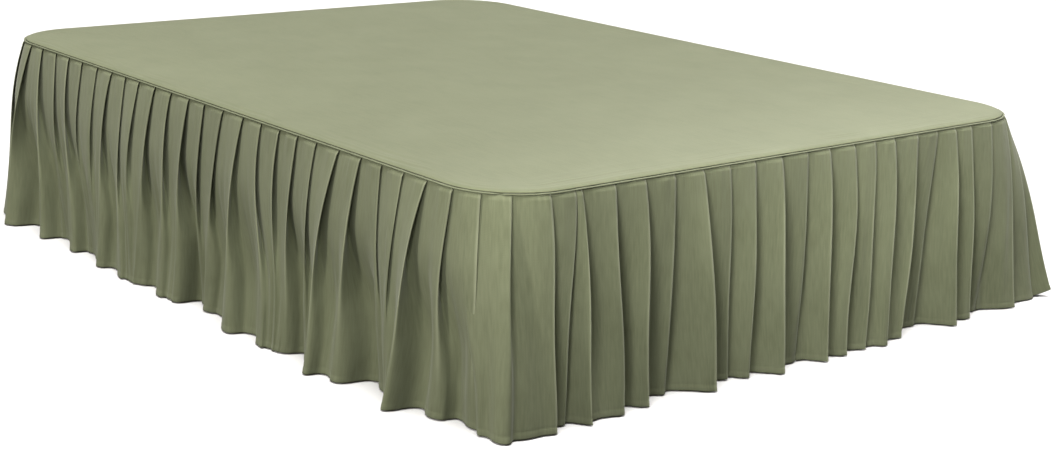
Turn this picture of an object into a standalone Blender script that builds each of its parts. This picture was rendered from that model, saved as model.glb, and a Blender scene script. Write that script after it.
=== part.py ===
"""Pleated bed skirt fitted on a plain bed base, standing on its feet. Metres, +Z up, foot side toward -Y.

The skirt is a flat top sheet (platform), a narrow welt round it (seam_band) and four knife-pleated drops
that meet at the middle of each rounded corner. The folded edges all point the same way, left to right as
seen from outside. Each drop is one loft between two unlike sections: the flat stack of pleats under the seam
and the wavy line of the hem, joined by straight threads of cloth, then given its thickness with Solidify.
"""
import math

import bmesh
import bpy
import numpy as np

MM = 0.001

# The bed: a queen size base, with the corners of the skirt's top sheet each as round as in the photo.
BED_WIDTH = 1.52
BED_LENGTH = 2.03
TOP_HEIGHT = 0.442
CORNER_RADIUS = {"foot_left": 0.150, "foot_right": 0.130, "head_right": 0.165, "head_left": 0.145}
CORNER_PLACE = {"foot_left": (-1, -1), "foot_right": (1, -1), "head_right": (1, 1), "head_left": (-1, 1)}
CORNER_STEPS = 9

# Cloth.
CLOTH = 1.6 * MM
PLATFORM_SHEET = 2.0 * MM
PLATFORM_ROLL = 9.0 * MM
BAND_HEIGHT = 7.0 * MM
BAND_DEPTH = 6.0 * MM
BAND_DROP = 2.5 * MM
BAND_ROUNDING = 2.0 * MM
PLAY = 0.3 * MM
HEAD_GAP = 0.8 * MM
HEAD_HEIGHT = TOP_HEIGHT - BAND_DROP - BAND_HEIGHT - HEAD_GAP
DROP_LENGTH = 0.445
HEM_CLEARANCE = 3.0 * MM

# A knife pleat under the seam: three layers, the face outermost, over a return this deep, or shallower
# where the next fold is near. Distances outward are those of the cloth's middle from the seam.
PLEAT_DEPTH = 25.0 * MM
LEAST_DEPTH = 10.0 * MM
DEEPEST_SHARE = 0.5
LAYER_INNER = 0.9 * MM
LAYER_MIDDLE = 3.3 * MM
LAYER_OUTER = 5.7 * MM
FACE_SET_BACK = 3.0 * MM
JOINT_GAP = 0.7 * MM
VALLEY_LEAST_OUT = -6.0 * MM

# A drop from seam to hem: where its rows lie, as shares of its height, and how much it swells out below the
# seam.
ROW_SHARES = (0.0, 0.05, 0.18, 0.5, 1.0)
PUFF = 0.9

# A fold at the hem: how much of a shallow fold still lies folded back there, how far into its dip the
# return reaches, where the face lifts on its way to the next fold, and how far the return stays below that
# face.
HEM_FOLD_SHARE = 0.4
RETURN_DIP_SHARE = 0.75
LIFT_SHARE = 0.65
UNDER_FACE = 5.0 * MM
EDGE_ROUNDING = 1.0 * MM

# The base under the skirt and its feet.
BASE_INSET = 13.0 * MM
BASE_HEIGHT = 0.220
BASE_ROUNDING = 15.0 * MM
LEG_RADIUS = 0.028
LEG_SIDES = 20
LEG_ROUNDING = 3.0 * MM
LEG_X = 0.60
LEG_Y = 0.85

# Each side of the bed, named with the corners it runs between, counter-clockwise seen from above. Then how
# far out the hem hangs at the middle of each corner, where two drops meet.
SIDES = {
    "foot": {"start": "foot_left", "end": "foot_right", "heading": 0.0},
    "right": {"start": "foot_right", "end": "head_right", "heading": 90.0},
    "head": {"start": "head_right", "end": "head_left", "heading": 180.0},
    "left": {"start": "head_left", "end": "foot_left", "heading": 270.0},
}
CORNER_HEM_OUT = {"foot_left": 0.075, "foot_right": 0.100, "head_right": 0.070, "head_left": 0.062}

# The folds that the photo shows, read by eye, left to right as seen from outside, in millimetres from the
# middle of the corner that the side starts at: where the folded edge leaves the seam, where it meets the
# hem, how far out the hem stands there, and how far it falls back behind the fold.
FOOT_FOLDS = (
    # top, hem, out, dip
    (20, 25, 94, 22),
    (90, 90, 60, 35),
    (160, 160, 62, 22),
    (240, 245, 56, 45),
    (315, 312, 50, 56),
    (390, 385, 16, 10),
    (465, 480, 64, 56),
    (535, 548, 22, 6),
    (605, 590, 42, 28),
    (680, 668, 66, 46),
    (755, 742, 26, 8),
    (820, 797, 64, 36),
    (895, 861, 60, 32),
    (960, 925, 54, 12),
    (1020, 985, 62, 30),
    (1095, 1050, 44, 48),
    (1160, 1140, 4, 6),
    (1220, 1222, 60, 34),
    (1275, 1290, 40, 36),
    (1345, 1352, 22, 10),
    (1420, 1417, 69, 45),
)
LEFT_FOLDS = (
    # top, hem, out, dip
    (60, 105, 78, 20),
    (132, 192, 118, 74),
    (195, 277, 80, 10),
    (270, 370, 100, 46),
    (340, 437, 80, 10),
    (410, 510, 92, 36),
    (490, 577, 77, 10),
    (563, 644, 95, 30),
    (630, 705, 82, 10),
    (696, 768, 93, 34),
    (772, 847, 74, 8),
    (845, 930, 89, 14),
    (924, 1012, 70, 42),
    (991, 1076, 56, 16),
    (1070, 1142, 62, 8),
    (1152, 1205, 87, 8),
    (1224, 1252, 92, 46),
    (1294, 1345, 81, 20),
    (1361, 1407, 62, 34),
    (1430, 1477, 62, 8),
    (1510, 1528, 97, 38),
    (1585, 1604, 75, 72),
    (1653, 1702, 44, 8),
    (1724, 1776, 82, 60),
    (1797, 1842, 28, 6),
    (1871, 1877, 34, 38),
    (1929, 1937, 32, 6),
)

# Where the low point behind each fold lies at the hem, as a share of the way to the next fold, and how round
# the waves are there, from 0 for creased to 1 for soft.
HEM_SHAPE = {
    "foot": {"flank": 0.50, "softness": 0.35},
    "right": {"flank": 0.40, "softness": 0.7},
    "head": {"flank": 0.45, "softness": 0.5},
    "left": {"flank": 0.36, "softness": 0.9},
}

# The hidden sides carry on with plain, slightly uneven pleats, in millimetres. Every second fold stands out
# more and dips more. The first fold of each belongs to the flare of its corner.
HIDDEN_SIDES = {
    "right": {"folds": 27, "first": 22.0, "first_out": 145.0, "seed": 3},
    "head": {"folds": 20, "first": 55.0, "first_out": 80.0, "seed": 8},
}
HIDDEN_OUT = 78.0
HIDDEN_OUT_CHANGE = 14.0
HIDDEN_DIP = {"standing": 46.0, "resting": 20.0}
HIDDEN_DRIFT = 18.0
HIDDEN_TOP_UNEVENNESS = 3.0

# Colours, linear light.
SAGE_TOP = (0.385, 0.412, 0.262, 1.0)
SAGE_SIDE = (0.262, 0.285, 0.176, 1.0)
PLAIN_WOOD = (0.46, 0.36, 0.25, 1.0)
DARK_WOOD = (0.16, 0.11, 0.07, 1.0)


def clear_scene():
    for old in list(bpy.data.objects):
        bpy.data.objects.remove(old, do_unlink=True)


def make_material(name, colour, roughness):
    material = bpy.data.materials.new(name)
    material.use_nodes = True
    shader = material.node_tree.nodes["Principled BSDF"]
    shader.inputs["Base Color"].default_value = colour
    shader.inputs["Roughness"].default_value = roughness
    shader.inputs["Metallic"].default_value = 0.0
    material.diffuse_color = colour
    return material


def add_object(name, mesh, material, place, location=(0.0, 0.0, 0.0)):
    mesh.materials.append(material)
    made = bpy.data.objects.new(name, mesh)
    made.location = location
    place.objects.link(made)
    return made


def finish_mesh(name, shape):
    mesh = bpy.data.meshes.new(name)
    shape.to_mesh(mesh)
    shape.free()
    return mesh


def add_bevel(made, width, segments):
    bevel = made.modifiers.new("rounded edges", "BEVEL")
    bevel.width = width
    bevel.segments = segments
    bevel.limit_method = "ANGLE"
    bevel.angle_limit = math.radians(50.0)


def add_solidify(made, thickness, offset, even=True):
    solidify = made.modifiers.new("thickness", "SOLIDIFY")
    solidify.thickness = thickness
    solidify.offset = offset
    solidify.use_even_offset = even


def is_above(point, plan_point):
    return all(math.isclose(value, wanted, abs_tol=PLAY) for value, wanted in zip(point, plan_point))


def rounded_block(outset, height, open_faces):
    """A box primitive the size of the bed plus outset all round, its four upright edges rounded
    concentrically with the top sheet's corners. open_faces names the directions, +1 up and -1 down, of the
    faces to remove."""
    shape = bmesh.new()
    bmesh.ops.create_cube(shape, size=1.0)
    size = (BED_WIDTH + 2 * outset, BED_LENGTH + 2 * outset, height)
    bmesh.ops.scale(shape, vec=size, verts=shape.verts)
    for corner, (x_sign, y_sign) in CORNER_PLACE.items():
        sharp = (x_sign * size[0] / 2, y_sign * size[1] / 2)
        upright = [edge for edge in shape.edges if all(is_above(vert.co, sharp) for vert in edge.verts)]
        bmesh.ops.bevel(
            shape,
            geom=upright,
            offset=CORNER_RADIUS[corner] + outset,
            segments=CORNER_STEPS,
            profile=0.5,
            affect="EDGES",
        )
    capped = [face for face in shape.faces if round(face.normal.z) in open_faces]
    bmesh.ops.delete(shape, geom=capped, context="FACES")
    return shape


def side_frame(side):
    """Start corner of the side's straight line, its forward and outward directions and the lengths of its
    first arc, its straight part and its last arc."""
    row = SIDES[side]
    x_sign, y_sign = CORNER_PLACE[row["start"]]
    start = np.array((x_sign * BED_WIDTH / 2, y_sign * BED_LENGTH / 2))
    heading = math.radians(row["heading"])
    forward = np.array((round(math.cos(heading)), round(math.sin(heading))))
    outward = np.array((forward[1], -forward[0]))
    first_radius = CORNER_RADIUS[row["start"]]
    last_radius = CORNER_RADIUS[row["end"]]
    whole = BED_WIDTH if forward[0] else BED_LENGTH
    lengths = (first_radius * math.pi / 4, whole - first_radius - last_radius, last_radius * math.pi / 4)
    return start, forward, outward, lengths


def side_length(side):
    return sum(side_frame(side)[3])


def walk(side, along, out):
    """Plan points at the given distances along a side's seam, from the middle of one corner to the middle of
    the next, and standing out from it by the given amounts, square to the seam, round the corners too."""
    start, forward, outward, (first_arc, straight, last_arc) = side_frame(side)
    first_radius = first_arc * 4 / math.pi
    last_radius = last_arc * 4 / math.pi
    past_first = along - first_arc
    past_straight = past_first - straight
    turn = np.minimum(past_first, 0.0) / first_radius + np.maximum(past_straight, 0.0) / last_radius
    radius = np.where(past_first < 0.0, first_radius, last_radius)
    level = first_radius + np.clip(past_first, 0.0, straight)
    aim = np.cos(turn)[..., None] * outward + np.sin(turn)[..., None] * forward
    centre = start + level[..., None] * forward - radius[..., None] * outward
    return centre + (radius + out)[..., None] * aim


def hidden_folds(side):
    """Fold rows for a side the photo hides: evenly spaced, each a little off, every second one standing
    out."""
    plan = HIDDEN_SIDES[side]
    chance = np.random.default_rng(plan["seed"])
    count = plan["folds"]
    last = side_length(side) / MM - plan["first"] - HIDDEN_DRIFT
    top = np.linspace(plan["first"], last, count)
    top = top + chance.uniform(-1.0, 1.0, count) * HIDDEN_TOP_UNEVENNESS
    hem = top + HIDDEN_DRIFT * chance.uniform(0.2, 1.0, count)
    standing = np.arange(count) % 2 == 0
    out = HIDDEN_OUT + HIDDEN_OUT_CHANGE * np.where(standing, 1.0, -1.0) * chance.uniform(0.4, 1.2, count)
    dip = np.where(standing, HIDDEN_DIP["standing"], HIDDEN_DIP["resting"])
    dip = dip * chance.uniform(0.7, 1.1, count)
    out[0] = plan["first_out"]
    dip[0] = plan["first_out"] / 2
    return np.column_stack((top, hem, out, dip))


def ease(share, softness):
    smooth = share * share * (3.0 - 2.0 * share)
    return share + (smooth - share) * softness


def pleat_sections(side, folds):
    """The two sections of a side's drop, column by column: distance along and stand-off under the seam, and
    the same at the hem. Each fold has six columns: the two sides of its folded edge, the two sides of the
    edge hidden behind it, and two on the face that runs to the next fold."""
    top, hem, out, dip = (np.asarray(folds, float) * MM).T
    begin = JOINT_GAP
    end = side_length(side) - JOINT_GAP
    begin_out = CORNER_HEM_OUT[SIDES[side]["start"]]
    end_out = CORNER_HEM_OUT[SIDES[side]["end"]]
    flank, softness = HEM_SHAPE[side]["flank"], HEM_SHAPE[side]["softness"]

    room = np.diff(top, prepend=begin) - FACE_SET_BACK
    depth = np.clip(DEEPEST_SHARE * room, LEAST_DEPTH, PLEAT_DEPTH)
    next_hem = np.append(hem[1:], end)
    next_out = np.append(out[1:], end_out)
    valley = hem + flank * (next_hem - hem)
    valley_out = np.maximum(out - dip, VALLEY_LEAST_OUT)
    lift = top - depth - FACE_SET_BACK
    next_lift = np.append(lift[1:], end - FACE_SET_BACK)
    still_folded = hem - HEM_FOLD_SHARE * np.maximum(depth - dip, 0.0)
    layer_step = LAYER_OUTER - LAYER_MIDDLE
    lift_hem = valley + LIFT_SHARE * (next_hem - valley)
    lift_out = valley_out + ease(LIFT_SHARE, softness) * (next_out - valley_out)
    first_lift_out = begin_out + ease(LIFT_SHARE, softness) * (out[0] - begin_out)
    face_above = np.append(first_lift_out, lift_out[:-1])
    fold_back_out = np.minimum(out + RETURN_DIP_SHARE * (valley_out - out), face_above - UNDER_FACE)

    everywhere = np.ones_like(top)
    columns = (
        (top, LAYER_OUTER * everywhere, hem, out),
        (top, LAYER_MIDDLE * everywhere, hem + EDGE_ROUNDING, out - layer_step),
        (top - depth, LAYER_MIDDLE * everywhere, still_folded, fold_back_out),
        (top - depth, LAYER_INNER * everywhere, still_folded + EDGE_ROUNDING, fold_back_out - layer_step),
        (top + FACE_SET_BACK, LAYER_INNER * everywhere, valley, valley_out),
        (next_lift, LAYER_OUTER * everywhere, lift_hem, lift_out),
    )
    between = np.stack([np.stack(column, axis=1) for column in columns], axis=1).reshape(-1, 4)
    first = (
        (begin, LAYER_MIDDLE, begin, begin_out),
        (lift[0], LAYER_OUTER, LIFT_SHARE * hem[0], first_lift_out),
    )
    last = ((end, LAYER_MIDDLE, end, end_out),)
    return np.concatenate((first, between, last))


def hem_height(out):
    """Height of the hem where it stands out by this much: the drop keeps its length and swings up as it
    flares."""
    return np.maximum(HEAD_HEIGHT - np.sqrt(DROP_LENGTH**2 - out**2), HEM_CLEARANCE)


def drop_mesh(side, folds):
    """The open sheet of one drop: a loft of rows between the section under the seam and the hem."""
    top_along, top_out, hem_along, hem_out = pleat_sections(side, folds).T
    share = np.array(ROW_SHARES)[:, None]
    reach = share + PUFF * share * (1.0 - share) ** 3
    along = top_along * (1.0 - share) + hem_along * share
    out = top_out * (1.0 - share) + hem_out * reach
    height = HEAD_HEIGHT * (1.0 - share) + hem_height(hem_out) * share
    points = np.concatenate((walk(side, along, out), height[..., None]), axis=-1)
    rows, columns = height.shape
    corner = (np.arange(rows - 1)[:, None] * columns + np.arange(columns - 1)).ravel()
    faces = np.column_stack((corner, corner + columns, corner + columns + 1, corner + 1))
    mesh = bpy.data.meshes.new("drop_" + side)
    mesh.from_pydata(points.reshape(-1, 3).tolist(), [], faces.tolist())
    return mesh


def build_drop(side, folds, material, place):
    drop = add_object("drop_" + side, drop_mesh(side, folds), material, place)
    add_solidify(drop, CLOTH, 0.0, even=False)
    return drop


def build_platform(material, place):
    """The flat top sheet: a shallow tray upside down, its rim rolled over, as thick as the cloth."""
    shape = rounded_block(0.0, PLATFORM_ROLL, open_faces=(-1,))
    mesh = finish_mesh("platform", shape)
    platform = add_object("platform", mesh, material, place, (0.0, 0.0, TOP_HEIGHT - PLATFORM_ROLL / 2))
    add_bevel(platform, PLATFORM_ROLL - PLAY, 4)
    add_solidify(platform, PLATFORM_SHEET, -1.0)
    return platform


def build_seam_band(material, place):
    """The welt: a low ring just outside the sheet's rolled rim."""
    shape = rounded_block(2 * PLAY, BAND_HEIGHT, open_faces=(-1, 1))
    mesh = finish_mesh("seam_band", shape)
    height = TOP_HEIGHT - BAND_DROP - BAND_HEIGHT / 2
    band = add_object("seam_band", mesh, material, place, (0.0, 0.0, height))
    add_solidify(band, BAND_DEPTH, 1.0)
    add_bevel(band, BAND_ROUNDING, 2)
    return band


def build_base(material, place):
    shape = rounded_block(-BASE_INSET, BASE_HEIGHT, open_faces=())
    mesh = finish_mesh("bed_base", shape)
    height = TOP_HEIGHT - PLATFORM_SHEET - PLAY - BASE_HEIGHT / 2
    base = add_object("bed_base", mesh, material, place, (0.0, 0.0, height))
    add_bevel(base, BASE_ROUNDING, 3)
    return base


def build_legs(material, place):
    leg_height = TOP_HEIGHT - PLATFORM_SHEET - BASE_HEIGHT - 2 * PLAY
    for row, y in (("foot", -LEG_Y), ("middle", 0.0), ("head", LEG_Y)):
        for hand, x in (("left", -LEG_X), ("right", LEG_X)):
            shape = bmesh.new()
            bmesh.ops.create_cone(
                shape,
                cap_ends=True,
                segments=LEG_SIDES,
                radius1=LEG_RADIUS,
                radius2=LEG_RADIUS,
                depth=leg_height,
            )
            name = f"leg_{row}_{hand}"
            leg = add_object(name, finish_mesh(name, shape), material, place, (x, y, leg_height / 2))
            add_bevel(leg, LEG_ROUNDING, 1)


def centre_on_floor(place):
    """Move everything sideways so that the whole part's bounding box has its middle over the origin."""
    bpy.context.view_layer.update()
    reach = np.concatenate(
        [[(made.matrix_world @ vertex.co)[:2] for vertex in made.data.vertices] for made in place.objects]
    )
    middle = (reach.min(axis=0) + reach.max(axis=0)) / 2
    for made in place.objects:
        made.location.x -= middle[0]
        made.location.y -= middle[1]


def main():
    clear_scene()
    place = bpy.data.collections.new("bed_skirt")
    bpy.context.scene.collection.children.link(place)
    top_cloth = make_material("sage_cloth_top", SAGE_TOP, 0.9)
    side_cloth = make_material("sage_cloth_drop", SAGE_SIDE, 0.9)
    base_wood = make_material("plain_base", PLAIN_WOOD, 0.7)
    leg_wood = make_material("dark_leg", DARK_WOOD, 0.5)
    build_platform(top_cloth, place)
    build_seam_band(make_material("sage_welt", SAGE_TOP, 0.9), place)
    build_drop("foot", FOOT_FOLDS, side_cloth, place)
    build_drop("left", LEFT_FOLDS, side_cloth, place)
    for side in HIDDEN_SIDES:
        build_drop(side, hidden_folds(side), side_cloth, place)
    build_base(base_wood, place)
    build_legs(leg_wood, place)
    centre_on_floor(place)


main()
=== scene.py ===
# Looks for the pleated bed skirt: a sage-green woven skirt fitted on its bed base, seen over one foot corner.
# Every piece is worked out in metres in the CAD's own frame, +Z up, foot side toward -Y.
import math

import bpy
import numpy as np
from mathutils import Matrix, Vector


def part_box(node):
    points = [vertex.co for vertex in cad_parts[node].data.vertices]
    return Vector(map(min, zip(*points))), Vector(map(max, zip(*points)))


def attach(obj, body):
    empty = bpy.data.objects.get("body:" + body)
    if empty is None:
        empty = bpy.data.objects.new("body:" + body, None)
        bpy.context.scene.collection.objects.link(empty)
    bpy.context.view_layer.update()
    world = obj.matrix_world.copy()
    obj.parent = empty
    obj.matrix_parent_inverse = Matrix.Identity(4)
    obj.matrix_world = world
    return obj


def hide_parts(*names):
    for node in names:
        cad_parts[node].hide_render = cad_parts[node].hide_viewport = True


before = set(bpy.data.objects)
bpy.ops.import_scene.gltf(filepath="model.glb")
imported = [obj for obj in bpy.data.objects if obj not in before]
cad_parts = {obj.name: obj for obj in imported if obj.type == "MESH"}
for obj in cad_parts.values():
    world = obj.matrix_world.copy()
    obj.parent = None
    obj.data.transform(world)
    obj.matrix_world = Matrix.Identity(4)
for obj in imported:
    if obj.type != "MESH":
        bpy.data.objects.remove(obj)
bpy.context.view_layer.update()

MM = 0.001

# ---- The bed and the cloth, as in the CAD ----------------------------------------------------------------

PLATFORM_LOW, PLATFORM_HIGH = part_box("platform")
BED_CENTRE = np.array(((PLATFORM_LOW.x + PLATFORM_HIGH.x) / 2, (PLATFORM_LOW.y + PLATFORM_HIGH.y) / 2))
BED_WIDTH = PLATFORM_HIGH.x - PLATFORM_LOW.x
BED_LENGTH = PLATFORM_HIGH.y - PLATFORM_LOW.y
TOP_HEIGHT = PLATFORM_HIGH.z
# Corner radii from the same fit as the camera's, rounded; the foot-right and head-left ones were then made
# rounder.
CORNER_RADIUS = {"foot_left": 0.150, "foot_right": 0.146, "head_right": 0.165, "head_left": 0.162}
CORNER_PLACE = {"foot_left": (-1, -1), "foot_right": (1, -1), "head_right": (1, 1), "head_left": (-1, 1)}
SIDES = {
    "foot": {"start": "foot_left", "end": "foot_right", "heading": 0.0},
    "right": {"start": "foot_right", "end": "head_right", "heading": 90.0},
    "head": {"start": "head_right", "end": "head_left", "heading": 180.0},
    "left": {"start": "head_left", "end": "foot_left", "heading": 270.0},
}
# The heads of the pleats lie just under the welt. A pleat takes up to half of the room behind it, and no more
# than the pleat depth. Its face starts a little back from its edge.
HEAD_HEIGHT = TOP_HEIGHT - 7.9 * MM
DROP_LENGTH = 0.4475
HEM_CLEARANCE = 3.0 * MM
PLEAT_DEPTH = 25.0 * MM
LEAST_DEPTH = 10.0 * MM
DEEPEST_SHARE = 0.5
FACE_SET_BACK = 3.0 * MM
# At the hem: how far out a valley lies at least, the share of a fold's depth that is still hidden behind it,
# how much of the fall its return has taken where it folds back, what share of its face comes before the last
# knot, how far the return keeps behind the face before it, and the roundness of the edges.
VALLEY_LEAST_OUT = -6.0 * MM
HEM_FOLD_SHARE = 0.4
RETURN_DIP_SHARE = 0.75
LIFT_SHARE = 0.65
UNDER_FACE = 5.0 * MM
EDGE_ROUNDING = 1.0 * MM

# The folds that the photo shows, left to right as seen from outside. Their places were read by eye in the
# photo, in pixels; a helper script turned these into real sizes through the camera at the end, and many were
# then moved by hand. They are in millimetres from the middle of the corner that the side starts at: where the
# folded edge leaves the seam and where it meets the hem, how far out the hem stands there, how far it falls
# back behind the fold, and how far down the drop the fold stays pressed sharp, as a share.
FOOT_FOLDS = (
    # top, hem, out, dip, sharp
    (20, 19, 97, 26, 0.1),
    (90, 90, 60, 35, 1.0),
    (145, 117, 34, 12, 0.9),
    (160, 160, 62, 22, 1.0),
    (240, 245, 56, 45, 1.0),
    (315, 312, 50, 56, 1.0),
    (390, 385, 16, 10, 0.9),
    (465, 480, 64, 56, 1.0),
    (535, 548, 22, 6, 0.9),
    (605, 590, 42, 28, 0.9),
    (680, 668, 66, 46, 1.0),
    (755, 742, 26, 8, 0.8),
    (820, 797, 64, 36, 1.0),
    (895, 861, 60, 32, 1.0),
    (960, 925, 54, 12, 0.9),
    (1020, 985, 62, 30, 0.9),
    (1095, 1050, 44, 48, 1.0),
    (1160, 1140, 4, 6, 0.8),
    (1220, 1222, 60, 34, 1.0),
    (1275, 1290, 40, 36, 1.0),
    (1345, 1352, 9, -7, 0.5),
    (1420, 1417, 72, 12, 1.0),
    (1454, 1475, 124, 4, 0.9),
)
LEFT_FOLDS = (
    # top, hem, out, dip, sharp
    (60, 105, 78, 20, 0.4),
    (132, 192, 118, 74, 0.5),
    (195, 363, 99, 47, 0.5),
    (270, 398, 50, -4, 0.3),
    (340, 508, 92, 36, 0.5),
    (410, 546, 54, -4, 0.3),
    (490, 605, 74, -6, 0.1),
    (563, 644, 95, 28, 0.4),
    (630, 761, 92, 6, 0.5),
    (696, 795, 87, 2, 0.1),
    (772, 822, 86, 30, 0.4),
    (845, 930, 89, 12, 0.4),
    (924, 990, 79, 54, 0.4),
    (991, 1035, 34, -4, 0.4),
    (1070, 1072, 56, 14, 0.4),
    (1152, 1222, 93, 44, 0.5),
    (1224, 1345, 82, 10, 0.5),
    (1294, 1376, 72, 3, 0.4),
    (1361, 1402, 63, 38, 0.6),
    (1430, 1477, 56, -6, 0.4),
    (1510, 1528, 98, 38, 0.6),
    (1585, 1604, 75, 74, 0.6),
    (1653, 1702, 24, -6, 0.3),
    (1724, 1738, 50, -6, 0.1),
    (1797, 1776, 84, 68, 0.6),
    (1871, 1866, 33, 33, 0.6),
    (1929, 1937, 30, -34, 0.6),
)
# How each side hangs: where between two folds its valley lies at the hem, how far its pleats have softened
# into waves there, from what share of the drop they open and by what share they have, how much deeper the
# waves are above the hem than at it, how far a folded edge gapes below the seam, how far the next face swells
# up beside it and how far the folds wander, these four in millimetres, and how far the drop swells out below
# the seam.
SIDE_MANNER = {
    # flank, softness, open_from, open_by, deeper, gape, face_rise, sway, puff
    "foot": (0.30, 0.4, 0.00, 0.90, 26.0, 3.0, 0.0, 4.0, 0.60),
    "right": (0.40, 0.6, 0.10, 0.75, 14.0, 3.0, 0.0, 5.0, 0.40),
    "head": (0.42, 0.5, 0.10, 0.80, 12.0, 3.0, 0.0, 5.0, 0.40),
    "left": (0.38, 1.0, 0.26, 0.74, 9.0, 5.5, 2.0, 6.0, 0.60),
}
OPENING_UNEVENNESS = 0.09
# A fold that falls back as far as the full dip has the full wave above the hem, and one that falls back less
# than the lesser dip is lifted, so that it doesn't sink between its neighbours.
FULL_DIP = 42.0
LEAST_DEEPER_SHARE = 0.15
LESSER_DIP = 3.0
LESSER_LIFT = 12.0 * MM
# A fold that is hardly pressed is limp: it gapes, swells and waves by this share only.
LIMP_SHARP = 0.2
LIMP_SHARE = 0.25
# The sides that the photo hides: how many folds, how far the first and the last one are from the corners'
# middles, where the first one meets the hem and how far out, and the seed of their small differences. Then
# how far out their hem stands and how far every second fold departs from that, how far they fall back, how
# far the folds lean, and how evenly and sharply they are pressed.
HIDDEN_SIDES = {
    "right": {"folds": 28, "first": 32.0, "last": 20.0, "first_hem": 24.0, "first_out": 168.0, "seed": 3},
    "head": {"folds": 20, "first": 55.0, "last": 10.0, "first_hem": 64.0, "first_out": 80.0, "seed": 8},
}
HIDDEN_OUT = 78.0
HIDDEN_OUT_CHANGE = 14.0
HIDDEN_DIP = {"standing": 46.0, "resting": 20.0}
HIDDEN_DRIFT = 18.0
HIDDEN_TOP_UNEVENNESS = 3.0
HIDDEN_SHARP = 0.7

# ---- The finer cloth -------------------------------------------------------------------------------------

# Thickness of the cloth, how far out from the seam the three layers of a pressed pleat lie, and how far the
# first column of a drop is tucked in behind the drop before it.
CLOTH = 0.8 * MM
LAYER_INNER = 0.7 * MM
LAYER_MIDDLE = 4.4 * MM
LAYER_OUTER = 6.2 * MM
JOINT_TUCK = 1.2 * MM
# Columns in each stretch of a fold: its edge, the return behind it, the hidden edge, the tuck, the face to
# where it lifts, and the lift to the next fold. The crest is the middle of the edge; the drops are joined in
# the middle of the hidden edge. The face swells up just past the valley. Reaches are in columns too.
FOLD_COLUMNS = (2, 6, 2, 5, 11, 6)
CREST_COLUMN = 1
CREST_REACH = 3.0
JOINT_COLUMN = 9
VALLEY_COLUMN = 15
SWELL_COLUMN = 17
SWELL_REACH = 2.5
# Rows down a drop, closest at the gathered head and at the hem.
ROW_SHARES = np.concatenate(
    (
        np.linspace(0.0, 0.03, 7)[:-1],
        np.linspace(0.03, 0.12, 6)[:-1],
        np.linspace(0.12, 0.95, 30)[:-1],
        np.linspace(0.95, 1.0, 11),
    )
)
# The welt's seam pinches the pleat heads flat; below it valleys may go in behind the seam.
HEAD_PINCH = 0.45
HEAD_PINCH_LENGTH = 9.0 * MM
HOLLOW_SHARES = (0.0, 0.2)
RETURN_ROUNDNESS = 0.95
FACE_ROUNDNESS = 0.35
SOFTENING_PASSES = 12
SOFTENING = 0.35
SOFTENING_SHARES = (0.05, 0.4)
# A pressed edge starts to loosen this share of the drop above the end of its sharp stretch, and is loose this
# share below it.
LOOSENS_ABOVE = 0.2
LOOSENS_BELOW = 0.4
# How far either side of its crest the painted highlight along a pressed edge reaches.
PAINTED_HIGHLIGHT_REACH = 1.9 * MM
# Small unevenness of the cloth: how far it goes, between what shares of the drop it grows to that, and the
# shortest and longest of its waves.
SWAY_WAVES = (0.11, 0.5)
RUFFLE = 1.9 * MM
RUFFLE_SHARES = (0.1, 0.6)
RUFFLE_WAVES = (0.03, 0.12)
PUCKER = 0.7 * MM
PUCKER_LENGTH = 30.0 * MM
PUCKER_WAVES = (0.012, 0.04)
# The hem is turned up and stitched along the top of the turn, which draws it in a little.
HEM_TURN = 12.0 * MM
HEM_RISE = 0.5 * MM
HEM_STEP = (2.0 * MM, 1.0 * MM)
STITCH_REACH = 3.0 * MM
DRAWN_REACH = 12.0 * MM
DRAWN_WAVES = (0.014, 0.03)


def hex_colour(code):
    """sRGB hex to linear light: c / 12.92 below 0.04045, otherwise ((c + 0.055) / 1.055) to the power 2.4."""
    shares = np.array([int(code[i : i + 2], 16) for i in (1, 3, 5)]) / 255.0
    linear = np.where(shares <= 0.04045, shares / 12.92, ((shares + 0.055) / 1.055) ** 2.4)
    return (*linear.tolist(), 1.0)


# ---- Paths round the bed ---------------------------------------------------------------------------------


def side_frame(side):
    """Start corner of the side's straight line, its forward and outward directions, and the lengths of its
    first arc, its straight part and its last arc."""
    row = SIDES[side]
    x_sign, y_sign = CORNER_PLACE[row["start"]]
    start = BED_CENTRE + np.array((x_sign * BED_WIDTH / 2, y_sign * BED_LENGTH / 2))
    heading = math.radians(row["heading"])
    forward = np.array((round(math.cos(heading)), round(math.sin(heading))))
    outward = np.array((forward[1], -forward[0]))
    first_radius = CORNER_RADIUS[row["start"]]
    last_radius = CORNER_RADIUS[row["end"]]
    whole = BED_WIDTH if forward[0] else BED_LENGTH
    lengths = (first_radius * math.pi / 4, whole - first_radius - last_radius, last_radius * math.pi / 4)
    return start, forward, outward, lengths


def side_length(side):
    return sum(side_frame(side)[3])


def seam_length():
    return sum(side_length(side) for side in SIDES)


def walk(side, along, out):
    """Plan points at distances along a side's seam, from the middle of one corner to the middle of the next,
    standing out from it square to the seam: on the straight the start plus along forward plus out outward, on
    an arc its centre plus (radius + out) in the direction turned by along / radius."""
    start, forward, outward, (first_arc, straight, last_arc) = side_frame(side)
    first_radius = first_arc * 4 / math.pi
    last_radius = last_arc * 4 / math.pi
    past_first = along - first_arc
    past_straight = past_first - straight
    turn = np.minimum(past_first, 0.0) / first_radius + np.maximum(past_straight, 0.0) / last_radius
    radius = np.where(past_first < 0.0, first_radius, last_radius)
    level = first_radius + np.clip(past_first, 0.0, straight)
    aim = np.cos(turn)[..., None] * outward + np.sin(turn)[..., None] * forward
    centre = start + level[..., None] * forward - radius[..., None] * outward
    return centre + (radius + out)[..., None] * aim


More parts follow.
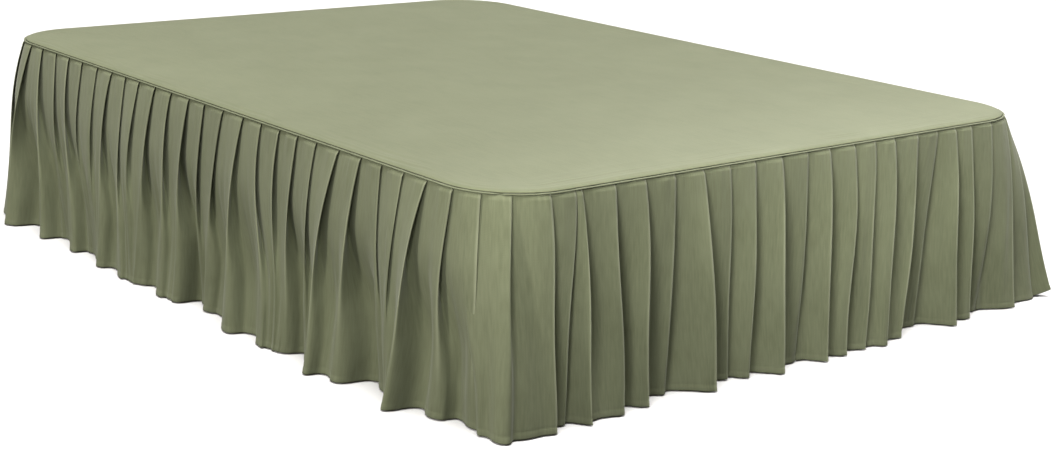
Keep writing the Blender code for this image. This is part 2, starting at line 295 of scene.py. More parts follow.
def walk_round(travel, out):
    """The same all the way round: travel is the distance along the whole seam from the middle of the
    foot-left corner, counter-clockwise, and starts again after one round."""
    travel, out = np.broadcast_arrays(travel % seam_length(), out)
    points = np.empty(out.shape + (2,))
    begin = 0.0
    for side in SIDES:
        here = (travel >= begin) & (travel <= begin + side_length(side))
        points[here] = walk(side, travel[here] - begin, out[here])
        begin += side_length(side)
    return points


def ripple(chance, place, share, shortest, longest, around, waves=8):
    """Seeded smooth unevenness of about -1 to 1: the sum of sine waves along place, their lengths spread from
    shortest to longest and rounded to fit whole times around, each with its own start that drifts with share,
    divided by the root of their count."""
    total = np.zeros(np.broadcast(place, share).shape)
    for length in around / np.round(around / np.geomspace(shortest, longest, waves)):
        start, drift = chance.uniform(0.0, 2 * math.pi), chance.uniform(-2.0, 2.0)
        total += np.sin(2 * math.pi * place / length + start + drift * share)
    return total / math.sqrt(waves)


def smooth_step(value, low, high):
    """0 below low, 1 above high, and 3 t squared minus 2 t cubed between them."""
    t = np.clip((value - low) / (high - low), 0.0, 1.0)
    return t * t * (3.0 - 2.0 * t)


# ---- Meshes ----------------------------------------------------------------------------------------------


def grid_faces(rows, columns, closed):
    """Four-cornered faces of a grid, row after row; a closed grid joins its last column to its first."""
    across = np.arange(columns if closed else columns - 1)
    down = np.arange(rows - 1)[:, None] * columns
    left, right = down + across, down + (across + 1) % columns
    return np.stack((left, left + columns, right + columns, right), axis=-1).reshape(-1, 4)


def mesh_piece(name, points, faces, material, uv=None):
    """A new smooth piece at the origin with its place in its mesh, and its pattern's place, in metres of
    cloth, as a UV map for each corner of each face."""
    mesh = bpy.data.meshes.new(name)
    mesh.from_pydata(points.reshape(-1, 3), [], faces)
    if uv is not None:
        layer = mesh.uv_layers.new(name="cloth")
        corner = np.empty(len(mesh.loops), np.int32)
        mesh.loops.foreach_get("vertex_index", corner)
        layer.data.foreach_set("uv", uv.reshape(-1, 2)[corner].astype(np.float32).ravel())
    mesh.polygons.foreach_set("use_smooth", np.full(len(mesh.polygons), True))
    mesh.materials.append(material)
    mesh.update()
    piece = bpy.data.objects.new(name, mesh)
    bpy.context.scene.collection.objects.link(piece)
    return piece


def add_thickness(piece, thickness, offset):
    solidify = piece.modifiers.new("thickness", "SOLIDIFY")
    solidify.thickness = thickness
    solidify.offset = offset
    solidify.use_even_offset = False


# ---- Pleated drops ---------------------------------------------------------------------------------------


def hidden_folds(side):
    """Fold rows for a side the photo hides: evenly spaced, each a little off, every second one standing
    out."""
    plan = HIDDEN_SIDES[side]
    chance = np.random.default_rng(plan["seed"])
    count = plan["folds"]
    last = side_length(side) / MM - plan["last"]
    top = np.linspace(plan["first"], last, count)
    top = top + chance.uniform(-1.0, 1.0, count) * HIDDEN_TOP_UNEVENNESS
    hem = top + HIDDEN_DRIFT * chance.uniform(0.2, 1.0, count)
    standing = np.arange(count) % 2 == 0
    out = HIDDEN_OUT + HIDDEN_OUT_CHANGE * np.where(standing, 1.0, -1.0) * chance.uniform(0.4, 1.2, count)
    dip = np.where(standing, HIDDEN_DIP["standing"], HIDDEN_DIP["resting"])
    dip = dip * chance.uniform(0.7, 1.1, count)
    hem[0], out[0] = plan["first_hem"], plan["first_out"]
    dip[0] = plan["first_out"] / 2
    return np.column_stack((top, hem, out, dip, np.full(count, HIDDEN_SHARP)))


def fold_ring():
    """Every fold of the skirt in one table, side after side, its places measured round the whole seam, and
    for each side the numbers of its first fold and of the next side's."""
    tables = {"foot": FOOT_FOLDS, "right": hidden_folds("right"), "head": hidden_folds("head")}
    tables["left"] = LEFT_FOLDS
    rows, spans, manner = [], {}, []
    begin, count = 0.0, 0
    for side, table in tables.items():
        table = np.array(table, float)
        table[:, :2] += begin / MM
        rows.append(table)
        manner += [SIDE_MANNER[side]] * len(table)
        spans[side] = (count, count + len(table))
        count += len(table)
        begin += side_length(side)
    top, hem, out, dip, sharp = np.concatenate(rows).T
    flank, softness, open_from, open_by, deeper, gape, face_rise, sway, puff = np.array(manner).T
    softness = np.maximum(softness, 1.0 - sharp)
    open_by = open_by + OPENING_UNEVENNESS * np.random.default_rng(4).uniform(-1.0, 1.0, count)
    lively = np.where(sharp > LIMP_SHARP, 1.0, LIMP_SHARE) * MM
    deeper = deeper * np.clip(dip / FULL_DIP, LEAST_DEEPER_SHARE, 1.0)
    ring = {"top": top * MM, "hem": hem * MM, "out": out * MM, "dip": dip * MM, "sharp": sharp}
    ring.update(flank=flank, softness=softness, open_from=open_from, open_by=open_by, sway=sway * MM)
    ring["lift"] = LESSER_LIFT * (dip < LESSER_DIP)
    ring.update(deeper=deeper * lively, gape=gape * lively, face_rise=face_rise * lively, puff=puff)
    return ring, spans


def following(values, step=0.0):
    """The same values one fold on; step is added where the ring starts again."""
    return np.append(values[1:], values[0] + step)


def folded_knots(ring):
    """The knots of the folded section: distance along and stand-off under the seam, and the same at the hem.
    Each fold has six knots: the two sides of its folded edge, the two sides of the edge hidden behind it, and
    two on the face that runs to the next fold."""
    round_seam = seam_length()
    top, hem, out, dip = ring["top"], ring["hem"], ring["out"], ring["dip"]
    room = top - np.roll(top, 1) - FACE_SET_BACK
    room[0] += round_seam
    depth = np.clip(DEEPEST_SHARE * room, LEAST_DEPTH, PLEAT_DEPTH)
    next_hem, next_out = following(hem, round_seam), following(out)
    valley = hem + ring["flank"] * (next_hem - hem)
    valley_out = np.maximum(out - dip, VALLEY_LEAST_OUT)
    next_lift = following(top - depth - FACE_SET_BACK, round_seam)
    still_folded = hem - HEM_FOLD_SHARE * np.maximum(depth - dip, 0.0)
    layer_step = LAYER_OUTER - LAYER_MIDDLE
    lift_hem = valley + LIFT_SHARE * (next_hem - valley)
    lift_out = valley_out + LIFT_SHARE * (next_out - valley_out)
    fold_back_out = np.minimum(out + RETURN_DIP_SHARE * (valley_out - out), np.roll(lift_out, 1) - UNDER_FACE)
    everywhere = np.ones_like(top)
    knots = (
        (top, LAYER_OUTER * everywhere, hem, out),
        (top, LAYER_MIDDLE * everywhere, hem + EDGE_ROUNDING, out - layer_step),
        (top - depth, LAYER_MIDDLE * everywhere, still_folded, fold_back_out),
        (top - depth, LAYER_INNER * everywhere, still_folded + EDGE_ROUNDING, fold_back_out - layer_step),
        (top + FACE_SET_BACK, LAYER_INNER * everywhere, valley, valley_out),
        (next_lift, LAYER_OUTER * everywhere, lift_hem, lift_out),
    )
    table = np.stack([np.stack(knot, axis=1) for knot in knots], axis=1).reshape(-1, 4)
    once_more = table[:1] + (round_seam, 0.0, round_seam, 0.0)
    return np.concatenate((table, once_more)), valley, valley_out


def spread(column, at, values, step=0.0):
    """Values known at some columns of the ring, read at every column; step is what a round adds to them."""
    around = len(column)
    at = np.concatenate((at - around, at, at + around))
    return np.interp(column, at, np.concatenate((values - step, values, values + step)))


def wave_section(column, crest_at, valley_at, ring, valley, valley_out):
    """The section of pleats that have opened into waves. Phase goes up by one from each crest to the valley
    after it and by one to the next crest. Out eases between their heights by half minus half the cosine of
    pi t. Along adds roundness times sin(2 pi t) / (2 pi) to t, which broadens crests and steepens flanks."""
    count = len(crest_at)
    at = np.stack((crest_at, valley_at), axis=1).ravel()
    phase = spread(column, at, np.arange(2.0 * count), 2.0 * count)
    whole = np.floor(phase)
    t = phase - whole
    eased = 0.5 - 0.5 * np.cos(math.pi * t)
    falling = whole % 2 == 0
    roundness = np.where(falling, RETURN_ROUNDNESS, FACE_ROUNDNESS)
    shifted = t + roundness * np.sin(2 * math.pi * t) / (2 * math.pi)
    heights = np.stack((ring["out"], valley_out), axis=1).ravel()
    places = np.stack((ring["hem"], valley), axis=1).ravel()
    number = whole.astype(int)
    here, after = number % (2 * count), (number + 1) % (2 * count)
    turns, turns_after = number // (2 * count), (number + 1) // (2 * count)
    begin, end = places[here] + turns * seam_length(), places[after] + turns_after * seam_length()
    along = begin + (end - begin) * shifted
    out = heights[here] + (heights[after] - heights[here]) * eased
    return along, out, np.where(falling, eased, 1.0 - eased)


def soften(section, strength):
    """Cloth doesn't turn at a point: each pass moves every point of a row towards the middle of its two
    neighbours, by strength; the row closes on itself after one round of the seam."""
    jump = np.array((seam_length(), 0.0))
    for _ in range(SOFTENING_PASSES):
        before, after = np.roll(section, 1, axis=1), np.roll(section, -1, axis=1)
        before[:, 0] -= jump
        after[:, -1] += jump
        section = section + strength[..., None] * ((before + after) / 2 - section)
    return section


def hem_height(out):
    """Height of the hem: the drop keeps its length and swings up as it flares, head height minus the root of
    length squared minus out squared."""
    return np.maximum(HEAD_HEIGHT - np.sqrt(DROP_LENGTH**2 - out**2), HEM_CLEARANCE)


def pleated_cloth():
    """All the pleated cloth round the bed as one grid of points, with its place on the cloth and how much
    each point takes the painted highlight along a pressed crease. With w the share of the way down, each
    fold's crest runs straight from the seam to the hem, swelling out by puff w (1 - w) squared. What lies
    between the crests turns from the folded section to the hem's as a smooth step of w from open_from to
    open_by. Folded edges gape, and the faces beside them swell, by 6.75 w (1 - w) squared, which is 1 a third
    of the way down. Waves are deeper, and the least folds are lifted, by 4 w (1 - w) to the power 1.5, which
    is 1 half way down."""
    chance = np.random.default_rng(12)
    ring, spans = fold_ring()
    knots, valley, valley_out = folded_knots(ring)
    round_seam = seam_length()
    count, width = len(ring["top"]), sum(FOLD_COLUMNS)
    column = np.arange(count * width)
    first = np.arange(count) * width
    crest_at, valley_at = first + CREST_COLUMN, first + VALLEY_COLUMN
    knot_at = np.append((first[:, None] + np.cumsum((0,) + FOLD_COLUMNS[:-1])).ravel(), count * width)
    top_along, top_out, folded_along, folded_out = (np.interp(column, knot_at, k) for k in knots.T)
    wave_along, wave_out, in_valley = wave_section(column, crest_at, valley_at, ring, valley, valley_out)

    share = ROW_SHARES[:, None]
    down = share * DROP_LENGTH
    step = column % width
    from_crest = np.minimum(np.abs(step - CREST_COLUMN), width - np.abs(step - CREST_COLUMN))
    near_edge = np.exp(-((from_crest / CREST_REACH) ** 2))
    beside_edge = np.exp(-(((step - SWELL_COLUMN) / SWELL_REACH) ** 2))
    sharp = spread(column, crest_at, ring["sharp"])
    open_from, open_by = (spread(column, crest_at, ring[key]) for key in ("open_from", "open_by"))
    loosened = smooth_step(share, sharp - LOOSENS_ABOVE, sharp + LOOSENS_BELOW)
    waved = loosened * spread(column, crest_at, ring["softness"])
    hem_along = folded_along + (wave_along - folded_along) * waved
    hem_out = folded_out + (wave_out - folded_out) * waved
    opened = smooth_step(share, open_from, open_by)

    crest_top = spread(column, crest_at, ring["top"], round_seam)
    crest_hem = spread(column, crest_at, ring["hem"], round_seam)
    crest_out = spread(column, crest_at, ring["out"])
    pinch = 1.0 - HEAD_PINCH * (1.0 - smooth_step(down, 0.0, HEAD_PINCH_LENGTH))
    reach = share + spread(column, crest_at, ring["puff"]) * share * (1.0 - share) ** 2
    third = 6.75 * share * (1.0 - share) ** 2
    middle = (4.0 * share * (1.0 - share)) ** 1.5
    sway = spread(column, crest_at, ring["sway"]) * 4 * share * (1.0 - share)
    along = crest_top * (1.0 - share) + crest_hem * share
    along = along + (top_along - crest_top) * (1.0 - opened) + (hem_along - crest_hem) * opened
    along = along + sway * ripple(chance, crest_hem, 3 * share, *SWAY_WAVES, round_seam)
    out = LAYER_OUTER * (1.0 - share) * pinch + crest_out * reach
    out = out + (top_out - LAYER_OUTER) * pinch * (1.0 - opened) + (hem_out - crest_out) * opened
    out = out + third * spread(column, crest_at, ring["gape"]) * near_edge
    out = out + third * spread(column, crest_at, ring["face_rise"]) * beside_edge
    out = out - middle * spread(column, crest_at, ring["deeper"]) * in_valley
    out = out + middle * spread(column, crest_at, ring["lift"])
    out = np.maximum(out, VALLEY_LEAST_OUT * smooth_step(share, *HOLLOW_SHARES))
    strength = smooth_step(share, *SOFTENING_SHARES) * (1.0 - near_edge) + loosened * near_edge
    section = soften(np.stack((along, out), axis=-1), SOFTENING * strength)

    middle_row = section[len(share) // 2]
    after = np.roll(middle_row, -1, axis=0)
    after[-1] += (round_seam, 0.0)
    lengths = np.linalg.norm(after - middle_row, axis=1)
    cloth = np.concatenate(([0.0], np.cumsum(lengths)[:-1]))
    round_cloth = lengths.sum()
    ruffle = RUFFLE * smooth_step(share, *RUFFLE_SHARES)
    ruffle = ruffle * ripple(chance, cloth, 2 * share, *RUFFLE_WAVES, round_cloth)
    pucker = PUCKER * np.exp(-down / PUCKER_LENGTH) * smooth_step(down, 0.0, HEAD_PINCH_LENGTH)
    pucker = pucker * ripple(chance, cloth, 6 * share, *PUCKER_WAVES, round_cloth)
    from_hem = DROP_LENGTH - down
    turned = HEM_RISE * smooth_step(-from_hem, -HEM_TURN - HEM_STEP[0], -HEM_TURN + HEM_STEP[1])
    stitched = -HEM_RISE * np.exp(-(((from_hem - HEM_TURN) / STITCH_REACH) ** 2))
    drawn = HEM_RISE * np.exp(-(((from_hem - HEM_TURN) / DRAWN_REACH) ** 2))
    drawn = drawn * ripple(chance, cloth, share, *DRAWN_WAVES, round_cloth)
    section[..., 1] += ruffle + pucker + turned + stitched + drawn

    height = HEAD_HEIGHT * (1.0 - share) + hem_height(section[-1, :, 1]) * share
    points = np.concatenate((walk_round(section[..., 0], section[..., 1]), height[..., None]), axis=-1)
    # The mask of the painted highlight along each pressed edge, where the edge would catch the light: it
    # falls off with distance from the crest and fades where the edge loosens.
    from_edge = cloth - cloth[crest_at][column // width]
    crease = np.exp(-((from_edge / PAINTED_HIGHLIGHT_REACH) ** 2)) * (1.0 - loosened)
    return points, cloth, round_cloth, from_hem, crease, spans


def build_drops(material):
    """The four drops, cut from the pleated cloth on the edges hidden behind their first folds, so that each
    joint lies inside a pleat; each drop's first column is tucked in behind the one before it."""
    points, cloth, round_cloth, from_hem, crease, spans = pleated_cloth()
    width = sum(FOLD_COLUMNS)
    for side, (first, beyond) in spans.items():
        number = np.arange(first * width + JOINT_COLUMN - 1, beyond * width + JOINT_COLUMN + 1)
        column = number % points.shape[1]
        own = points[:, column]
        inward = BED_CENTRE - own[:, 0, :2]
        own[:, 0, :2] += JOINT_TUCK * inward / np.linalg.norm(inward, axis=1, keepdims=True)
        across = cloth[column] + (number // points.shape[1]) * round_cloth
        uv = np.stack(np.broadcast_arrays(across, from_hem), axis=-1)
        faces = grid_faces(*own.shape[:2], closed=False).tolist()
        drop = mesh_piece("pleated_drop_" + side, own, faces, material, uv)
        # The drop carries the mask of the painted highlight along its pressed edges.
        pressed = drop.data.attributes.new("pressed", "FLOAT", "POINT")
        pressed.data.foreach_set("value", crease[:, column].astype(np.float32).ravel())
        add_thickness(drop, CLOTH, 0.0)
        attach(drop, "root")
        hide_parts("drop_" + side)


# ---- Top sheet and welt ----------------------------------------------------------------------------------

ROUND_COLUMNS = 640
SHEET = 1.2 * MM
ROLL_INSET = 14.0 * MM
ROLL_FALL = 3.6 * MM
ALLOWANCE_INSET = 3.0 * MM
ALLOWANCE_TOP = 4.6 * MM
ALLOWANCE_END = 12.0 * MM
# Rings inwards from the rolled rim: close ones first, then wider ones, then shares of the way to the middle.
ROLL_RINGS = 10
CLOSE_RINGS, CLOSE_STEP = 13, 3.0 * MM
WIDE_RINGS, WIDE_STEP = 7, 7.0 * MM
MIDDLE_SHARES = 30
# Creases along the seam, how far they stray from it, and the gentle bow of the rest: how high, how far from
# the rim they start and are whole, and their waves as above. Waves that don't run along the seam needn't
# close, and fit whole times into a length of their own.
CREASE_RISE = 1.6 * MM
CREASE_START = (8.0 * MM, 20.0 * MM)
CREASE_REACH = 40.0 * MM
CREASE_RUN = 10.0
CREASE_WAVES = (0.012, 0.035)
STRAY = 6.0 * MM
STRAY_WAVES = (0.15, 0.9)
FADING_WAVES = (0.2, 0.8)
BOW = 1.2 * MM
BOW_START = (10.0 * MM, 120.0 * MM)
BOW_WAVES = (0.25, 0.9)
BOW_RUN = 20.0
HIGHEST_RISE = 1.5 * MM


def build_top_sheet(material):
    """The flat top: rings inside each other. The seam allowance stands behind the welt, then the rim rolls
    over, inset ROLL_INSET (1 - cos) and lowered ROLL_FALL (1 - sin); from there rings step inwards square to
    the seam, then shrink in equal shares to the middle. Shallow creases run beside the seam, ripple times e
    to the minus inset / CREASE_REACH, and the rest bows a little, as long ripples."""
    chance = np.random.default_rng(21)
    travel = np.arange(ROUND_COLUMNS) / ROUND_COLUMNS * seam_length()
    angle = np.radians(np.linspace(0.0, 90.0, ROLL_RINGS))
    close, wide = np.arange(1, CLOSE_RINGS + 1) * CLOSE_STEP, np.arange(1, WIDE_RINGS + 1) * WIDE_STEP
    steps = np.concatenate((close, close[-1] + wide))
    inset = np.concatenate(((ALLOWANCE_INSET,) * 2, ROLL_INSET * (1 - np.cos(angle)), ROLL_INSET + steps))
    roll_low = ROLL_FALL * (1 - np.sin(angle))
    rings = walk_round(travel, np.broadcast_to(-inset[:, None], (len(inset), ROUND_COLUMNS)))
    shrinking = np.linspace(1.0, 0.0, MIDDLE_SHARES)[1:-1]
    plan = np.concatenate((rings, BED_CENTRE + shrinking[:, None, None] * (rings[-1] - BED_CENTRE)))
    to_middle = np.concatenate((inset, inset[-1] + (1.0 - shrinking) * (BED_WIDTH / 2 - inset[-1])))[:, None]
    stray = STRAY * ripple(chance, travel, 0.0, *STRAY_WAVES, seam_length())
    crease = ripple(chance, to_middle + stray, travel / seam_length() * 2, *CREASE_WAVES, CREASE_RUN)
    crease = crease * (0.6 + 0.4 * ripple(chance, travel, 0.0, *FADING_WAVES, seam_length()))
    rise = CREASE_RISE * crease * np.exp(-to_middle / CREASE_REACH) * smooth_step(to_middle, *CREASE_START)
    bow = ripple(chance, plan[..., 0], plan[..., 1] * 3, *BOW_WAVES, BOW_RUN)
    bow = bow + ripple(chance, plan[..., 1], plan[..., 0] * 3, *BOW_WAVES, BOW_RUN)
    rise = rise + BOW * (bow - 2.0) / 4 * smooth_step(to_middle, *BOW_START)
    flat = np.zeros(len(steps) + len(shrinking))
    low = np.concatenate(((ALLOWANCE_END, ALLOWANCE_TOP), roll_low, flat))[:, None]
    height = TOP_HEIGHT - low + np.minimum(rise, HIGHEST_RISE)
    middle = np.append(BED_CENTRE, height[-1].mean())
    points = np.concatenate((np.concatenate((plan, height[..., None]), axis=-1).reshape(-1, 3), (middle,)))
    count = len(to_middle)
    faces = grid_faces(count, ROUND_COLUMNS, closed=True)[:, ::-1].tolist()
    ring = (count - 1) * ROUND_COLUMNS + np.arange(ROUND_COLUMNS)
    fan = np.column_stack((ring, np.roll(ring, -1), np.full(ROUND_COLUMNS, len(points) - 1)))
    sheet = mesh_piece("top_sheet", points, faces + fan.tolist(), material)
    add_thickness(sheet, SHEET, -1.0)
    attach(sheet, "root")
    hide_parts("platform")
    return sheet


# The welt's section, half its height and depth and where its middle lies; the notch where its ends meet; and
# how far it is drawn in here and there.
WELT_COLUMNS = 1100
WELT_POINTS = 18
WELT_HALF_HEIGHT = 1.3 * MM
WELT_HALF_DEPTH = 2.5 * MM
WELT_OUT = 3.1 * MM
WELT_HEIGHT = TOP_HEIGHT - 5.8 * MM
WELT_LEAST = 0.2 * MM
WELT_NOTCH_WIDTH = 5.0 * MM
WELT_NOTCH = 1.6 * MM
WELT_DRAWN = 0.2 * MM
WELT_DRAWN_WAVES = (0.016, 0.07)


def build_welt(material):
    """The welt: a softly squared oval, out and height the 2/3 powers of cosine and sine, carried round the
    seam. It is drawn in a little here and there, and its two ends meet in a notch, e to the minus distance
    squared, at the foot-left corner."""
    chance = np.random.default_rng(5)
    travel = np.arange(WELT_COLUMNS) / WELT_COLUMNS * seam_length()
    angle = np.arange(WELT_POINTS)[:, None] / WELT_POINTS * 2 * math.pi
    cosine, sine = np.cos(angle), np.sin(angle)
    from_notch = np.minimum(travel, seam_length() - travel)
    notch = WELT_NOTCH * np.exp(-((from_notch / WELT_NOTCH_WIDTH) ** 2))
    drawn = WELT_DRAWN * ripple(chance, travel, 0.0, *WELT_DRAWN_WAVES, seam_length())
    half_depth = WELT_HALF_DEPTH - notch + drawn
    half_height = np.maximum(WELT_HALF_HEIGHT - notch + drawn, WELT_LEAST)
    out = WELT_OUT - notch + half_depth * np.sign(cosine) * np.abs(cosine) ** (2 / 3)
    height = WELT_HEIGHT - notch / 2 + half_height * np.sign(sine) * np.abs(sine) ** (2 / 3)
    points = np.concatenate((walk_round(travel, out), height[..., None]), axis=-1)
    faces = grid_faces(WELT_POINTS, WELT_COLUMNS, closed=True)
    first = faces[:WELT_COLUMNS, 0]
    last = first + (WELT_POINTS - 1) * WELT_COLUMNS
    closing = np.column_stack((last, first, np.roll(first, -1), np.roll(last, -1)))
    faces = np.concatenate((faces, closing))[:, ::-1].tolist()
    uv = np.stack(np.broadcast_arrays(travel, angle * WELT_HALF_HEIGHT), axis=-1)
    welt = mesh_piece("welt", points, faces, material, uv)
    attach(welt, "root")
    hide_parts("seam_band")
    return welt


# ---- Materials -------------------------------------------------------------------------------------------

# Spacings and sizes of the patterns: threads, thick places in the yarn, clouds of the dye and fuzz; fibre of
# the wood, and how much longer than wide its grain runs, as the share its length is drawn at.
THREADS_APART = 3.0 * MM
SLUB_WIDTH = 3.5 * MM
SLUB_LENGTH = 45.0 * MM
DYE_CLOUD = 120.0 * MM
FUZZ = 2.2 * MM
FIBRE_WIDTH = 1.2 * MM
FIBRE_LENGTH = 30.0 * MM
LENGTHWAYS = 0.08


def add_node(tree, kind, inputs=None, **properties):
    """A node of that kind with its properties as given; each input is set to its value, or linked where the
    value is another node's output."""
    made = tree.nodes.new("ShaderNode" + kind)
    for name, value in properties.items():
        setattr(made, name, value)
    for name, value in (inputs or {}).items():
        if isinstance(value, bpy.types.NodeSocket):
            tree.links.new(value, made.inputs[name])
        else:
            made.inputs[name].default_value = value
    return made


def wave_scale(spacing):
    """Scale of a wave texture whose bands are spacing apart: it turns once in 2 pi / 20 units at scale 1."""
    return math.pi / 10 / spacing


def bare_material(name):
    material = bpy.data.materials.new(name)
    material.use_nodes = True
    return material, material.node_tree, material.node_tree.nodes["Principled BSDF"]


def woven_cloth(name, main, shade, light, pressed):
    """Brushed polyester-cotton, plain weave, piece-dyed: matt and soft, with faint slubs along the threads
    and cloudy dyeing, and a painted highlight along each pressed edge, where the edge would catch the light.
    Threads are about 0.5 mm apart; they are drawn 3 mm apart, the finest that the render shows."""
    material, tree, shader = bare_material(name)
    if pressed:
        place = add_node(tree, "UVMap", uv_map="cloth").outputs["UV"]
    else:
        place = add_node(tree, "TexCoord").outputs["Object"]
    slub_place = add_node(tree, "Mapping", {"Vector": place, "Scale": (1 / SLUB_WIDTH, 1 / SLUB_LENGTH, 1.0)})
    slub = add_node(tree, "TexNoise", {"Vector": slub_place.outputs[0], "Scale": 1.0, "Detail": 2.0})
    cloud_place = {"Vector": place, "Scale": 1 / DYE_CLOUD}
    cloud = add_node(tree, "TexNoise", {**cloud_place, "Detail": 3.0, "Roughness": 0.55})
    grain = add_node(tree, "TexNoise", {"Vector": place, "Scale": 1 / FUZZ, "Detail": 1.0})
    slub_range = {"Value": slub.outputs["Fac"], "From Min": 0.3, "From Max": 0.7, "To Max": 0.9}
    slub_share = add_node(tree, "MapRange", slub_range).outputs[0]
    slubbed = {"Fac": slub_share, "Color1": hex_colour(main), "Color2": hex_colour(shade)}
    tone = add_node(tree, "MixRGB", slubbed).outputs[0]
    cloud_range = {"Value": cloud.outputs["Fac"], "From Min": 0.35, "From Max": 0.7, "To Max": 0.45}
    cloud_share = add_node(tree, "MapRange", cloud_range).outputs[0]
    clouded = {"Fac": cloud_share, "Color1": tone, "Color2": hex_colour(light)}
    colour = add_node(tree, "MixRGB", clouded).outputs[0]
    # Painted highlight: a lighter colour mixed in along each pressed edge, by the mask that the drops carry.
    if pressed:
        crease = add_node(tree, "Attribute", attribute_name="pressed")
        share = add_node(tree, "Math", {0: crease.outputs["Fac"], 1: 0.8}, operation="MULTIPLY").outputs[0]
        painted_edge_highlight = {"Fac": share, "Color1": colour, "Color2": hex_colour(pressed)}
        colour = add_node(tree, "MixRGB", painted_edge_highlight).outputs[0]
    threads = {"Vector": place, "Scale": wave_scale(THREADS_APART)}
    warp = add_node(tree, "TexWave", threads, bands_direction="X", wave_profile="SIN")
    weft = add_node(tree, "TexWave", threads, bands_direction="Y", wave_profile="SIN")
    weave = add_node(tree, "Math", {0: warp.outputs["Fac"], 1: weft.outputs["Fac"]}, operation="MULTIPLY")
    fuzz = add_node(tree, "Math", {0: weave.outputs[0], 1: grain.outputs["Fac"]}, operation="ADD")
    height = add_node(tree, "Math", {0: fuzz.outputs[0], 1: slub.outputs["Fac"]}, operation="ADD")
    bump = add_node(tree, "Bump", {"Height": height.outputs[0], "Strength": 0.25, "Distance": 0.0004})
    rough = add_node(tree, "MapRange", {"Value": grain.outputs["Fac"], "To Min": 0.82, "To Max": 0.96})
    tree.links.new(colour, shader.inputs["Base Color"])
    tree.links.new(rough.outputs[0], shader.inputs["Roughness"])
    tree.links.new(bump.outputs[0], shader.inputs["Normal"])
    shader.inputs["Specular IOR Level"].default_value = 0.25
    shader.inputs["Sheen Weight"].default_value = 0.12
    shader.inputs["Sheen Roughness"].default_value = 0.5
    return material


def board_wood(name, main, dark, roughness, grain_width):
    """Sawn and sanded softwood or stained beech: long grain along the board, finer fibre within it."""
    material, tree, shader = bare_material(name)
    place = add_node(tree, "TexCoord").outputs["Object"]
    stretched = add_node(tree, "Mapping", {"Vector": place, "Scale": (1.0, LENGTHWAYS, 1.0)}).outputs[0]
    bend = add_node(tree, "TexNoise", {"Vector": stretched, "Scale": 6.0, "Detail": 2.0})
    grain_bands = {"Vector": stretched, "Scale": wave_scale(grain_width), "Distortion": 4.0, "Detail": 2.0}
    rings = add_node(tree, "TexWave", grain_bands, bands_direction="X")
    fibre_size = (1 / FIBRE_WIDTH, 1 / FIBRE_LENGTH, 1 / FIBRE_WIDTH)
    fibre_place = add_node(tree, "Mapping", {"Vector": place, "Scale": fibre_size})
    fibre = add_node(tree, "TexNoise", {"Vector": fibre_place.outputs[0], "Scale": 1.0, "Detail": 2.0})
    grain = add_node(tree, "Math", {0: rings.outputs["Fac"], 1: bend.outputs["Fac"]}, operation="MULTIPLY")
    grained = {"Fac": grain.outputs[0], "Color1": hex_colour(main), "Color2": hex_colour(dark)}
    colour = add_node(tree, "MixRGB", grained).outputs[0]
    fibred = {"Fac": 0.18, "Color1": colour, "Color2": fibre.outputs["Color"]}
    fine = add_node(tree, "MixRGB", fibred, blend_type="SOFT_LIGHT")
    bump = add_node(tree, "Bump", {"Height": fibre.outputs["Fac"], "Strength": 0.2, "Distance": 0.0003})
    tree.links.new(fine.outputs[0], shader.inputs["Base Color"])
    tree.links.new(bump.outputs[0], shader.inputs["Normal"])
    shader.inputs["Roughness"].default_value = roughness
    return material


# ---- Stage -----------------------------------------------------------------------------------------------

FLOOR_REACH = 60.0
AMBIENT = 0.09
# The spots along the foot side: where the first one stands, how far apart they are, and their watts.
FOOT_SPOT_START = -1.88
FOOT_SPOT_SPACING = 0.48
FOOT_SPOT_POWERS = (0.95, 1.15, 1.2, 0.92, 0.62)
# The photo's camera, from a helper script's least-squares fit to places read in the photo on the seams, far
# edges, folds and hem, with the bed held at 1.52 by 2.03 m: degrees to the right of +Y, downwards and round
# its axis; metres from the middle of the top; focal length in pixels of a picture as wide as the photo.
CAMERA_TURN = (39.6811, 14.893, 2.0299)
CAMERA_PLACE = (-2.6747, -3.4109, 0.7709)
FOCAL_PIXELS = 1829.6
PHOTO_WIDTH = 1056
SENSOR_WIDTH = 36.0


def add_light(name, kind, place, target, power, colour, **properties):
    lamp = bpy.data.lights.new(name, kind)
    lamp.energy = power
    lamp.color = hex_colour(colour)[:3]
    for key, value in properties.items():
        setattr(lamp, key, value)
    made = bpy.data.objects.new(name, lamp)
    made.location = place
    made.rotation_euler = (Vector(target) - Vector(place)).to_track_quat("-Z", "Y").to_euler()
    made.visible_camera = False
    bpy.context.scene.collection.objects.link(made)


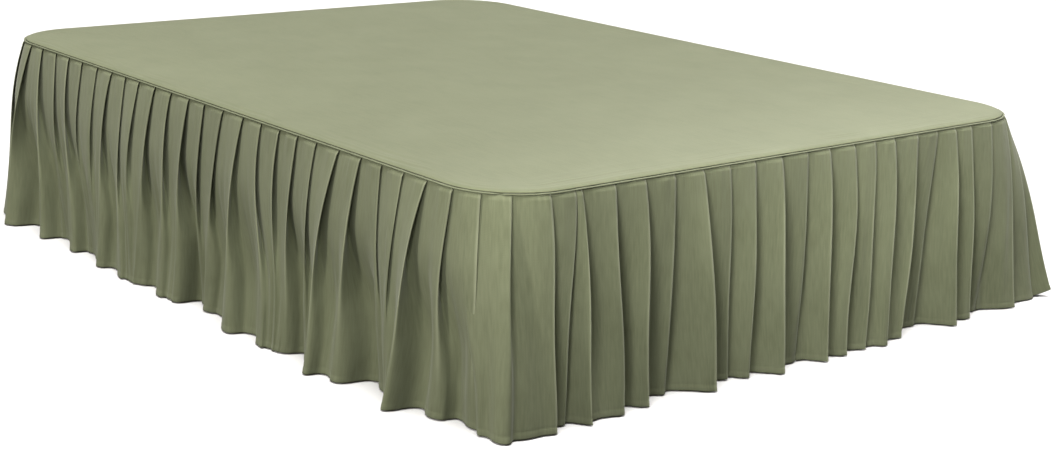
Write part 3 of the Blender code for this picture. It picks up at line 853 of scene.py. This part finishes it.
def build_stage():
    """A wide pale floor that throws no light back; a large soft light overhead, a narrower one from the left,
    a row of small spots that rakes along the foot side, a low weak fill from behind, a strip beside the left
    side and a softbox before the right corner."""
    mesh = bpy.data.meshes.new("studio_floor")
    corners = [(x * FLOOR_REACH, y * FLOOR_REACH, 0.0) for x, y in ((-1, -1), (1, -1), (1, 1), (-1, 1))]
    mesh.from_pydata(corners, [], [(0, 1, 2, 3)])
    floor = bpy.data.objects.new("studio_floor", mesh)
    bpy.context.scene.collection.objects.link(floor)
    material, _, shader = bare_material("pale_floor")
    shader.inputs["Base Color"].default_value = hex_colour("#DADADD")
    shader.inputs["Roughness"].default_value = 0.9
    shader.inputs["Specular IOR Level"].default_value = 0.2
    mesh.materials.append(material)
    floor.visible_diffuse = False

    world = bpy.data.worlds.new("studio")
    bpy.context.scene.world = world
    world.use_nodes = True
    background = world.node_tree.nodes["Background"]
    background.inputs["Color"].default_value = (1.0, 1.0, 1.0, 1.0)
    background.inputs["Strength"].default_value = AMBIENT
    origin = (0.0, 0.0, 0.0)
    add_light("overhead_softbox", "SUN", (-0.1, -0.3, 4.0), origin, 5.0, "#FFFDF8", angle=math.radians(40.0))
    add_light("left_strip", "SUN", (-4.0, 0.4, 1.3), origin, 1.6, "#FFFBF2", angle=math.radians(10.0))
    for number, power in enumerate(FOOT_SPOT_POWERS):
        along = FOOT_SPOT_START + FOOT_SPOT_SPACING * number
        place, target = (along, -1.75, 0.95), (along + 1.2, -1.05, 0.38)
        spot = {"shape": "DISK", "size": 0.35, "spread": math.radians(50.0)}
        add_light("foot_spot_%d" % number, "AREA", place, target, power, "#FFFDF8", **spot)
    add_light("back_fill", "SUN", (3.0, 4.0, 0.3), origin, 0.5, "#FFFFFF", angle=math.radians(30.0))
    strip = {"shape": "RECTANGLE", "size": 2.4, "size_y": 0.4}
    add_light("side_strip", "AREA", (-1.45, -0.2, 1.0), (-0.8, -0.5, 0.35), 4.1, "#FFFBF2", **strip)
    near_right = (2.6, -2.2, 2.6)
    add_light("right_softbox", "AREA", near_right, (0.8, -0.7, 0.3), 30.0, "#FFFAF0", shape="DISK", size=1.2)


def build_camera():
    """The photo's view: the fitted turn, place and focal length."""
    yaw, pitch, roll = np.radians(CAMERA_TURN)
    ahead, down = math.cos(pitch), -math.sin(pitch)
    forward = np.array((math.sin(yaw) * ahead, math.cos(yaw) * ahead, down))
    level = np.array((math.cos(yaw), -math.sin(yaw), 0.0))
    above = np.cross(level, forward)
    right = math.cos(roll) * level + math.sin(roll) * above
    up = -math.sin(roll) * level + math.cos(roll) * above
    place = np.append(BED_CENTRE, TOP_HEIGHT) + CAMERA_PLACE
    lens = bpy.data.cameras.new("photo_view")
    lens.sensor_width = SENSOR_WIDTH
    lens.lens = FOCAL_PIXELS * SENSOR_WIDTH / PHOTO_WIDTH
    camera = bpy.data.objects.new("photo_view", lens)
    rows = np.column_stack((right, up, -forward, place)).tolist()
    camera.matrix_world = Matrix(rows + [(0, 0, 0, 1)])
    bpy.context.scene.collection.objects.link(camera)
    bpy.context.scene.camera = camera


# ---- Everything ------------------------------------------------------------------------------------------


def build():
    bpy.context.scene.view_settings.view_transform = "Standard"
    top_cloth = woven_cloth("sage_plain_weave_top", "#6A6E55", "#62684F", "#70755C", None)
    welt_cloth = woven_cloth("sage_plain_weave_welt", "#6A6F57", "#636850", "#71765D", None)
    # The pleated cloth's last colour is the painted highlight along its pressed edges.
    drop_cloth = woven_cloth("sage_plain_weave_pleated", "#6B7057", "#5F644C", "#71765E", "#959980")
    pine = board_wood("sanded_pine", "#C4A57C", "#A98557", 0.7, 12.0 * MM)
    beech = board_wood("dark_stained_beech", "#4A3526", "#35251A", 0.45, 5.0 * MM)

    sheet = build_top_sheet(top_cloth)
    welt = build_welt(welt_cloth)
    build_drops(drop_cloth)
    for name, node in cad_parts.items():
        if name == "bed_base" or name.startswith("leg_"):
            material = pine if name == "bed_base" else beech
            node.data.materials.clear()
            node.data.materials.append(material)
    build_stage()
    build_camera()


build()
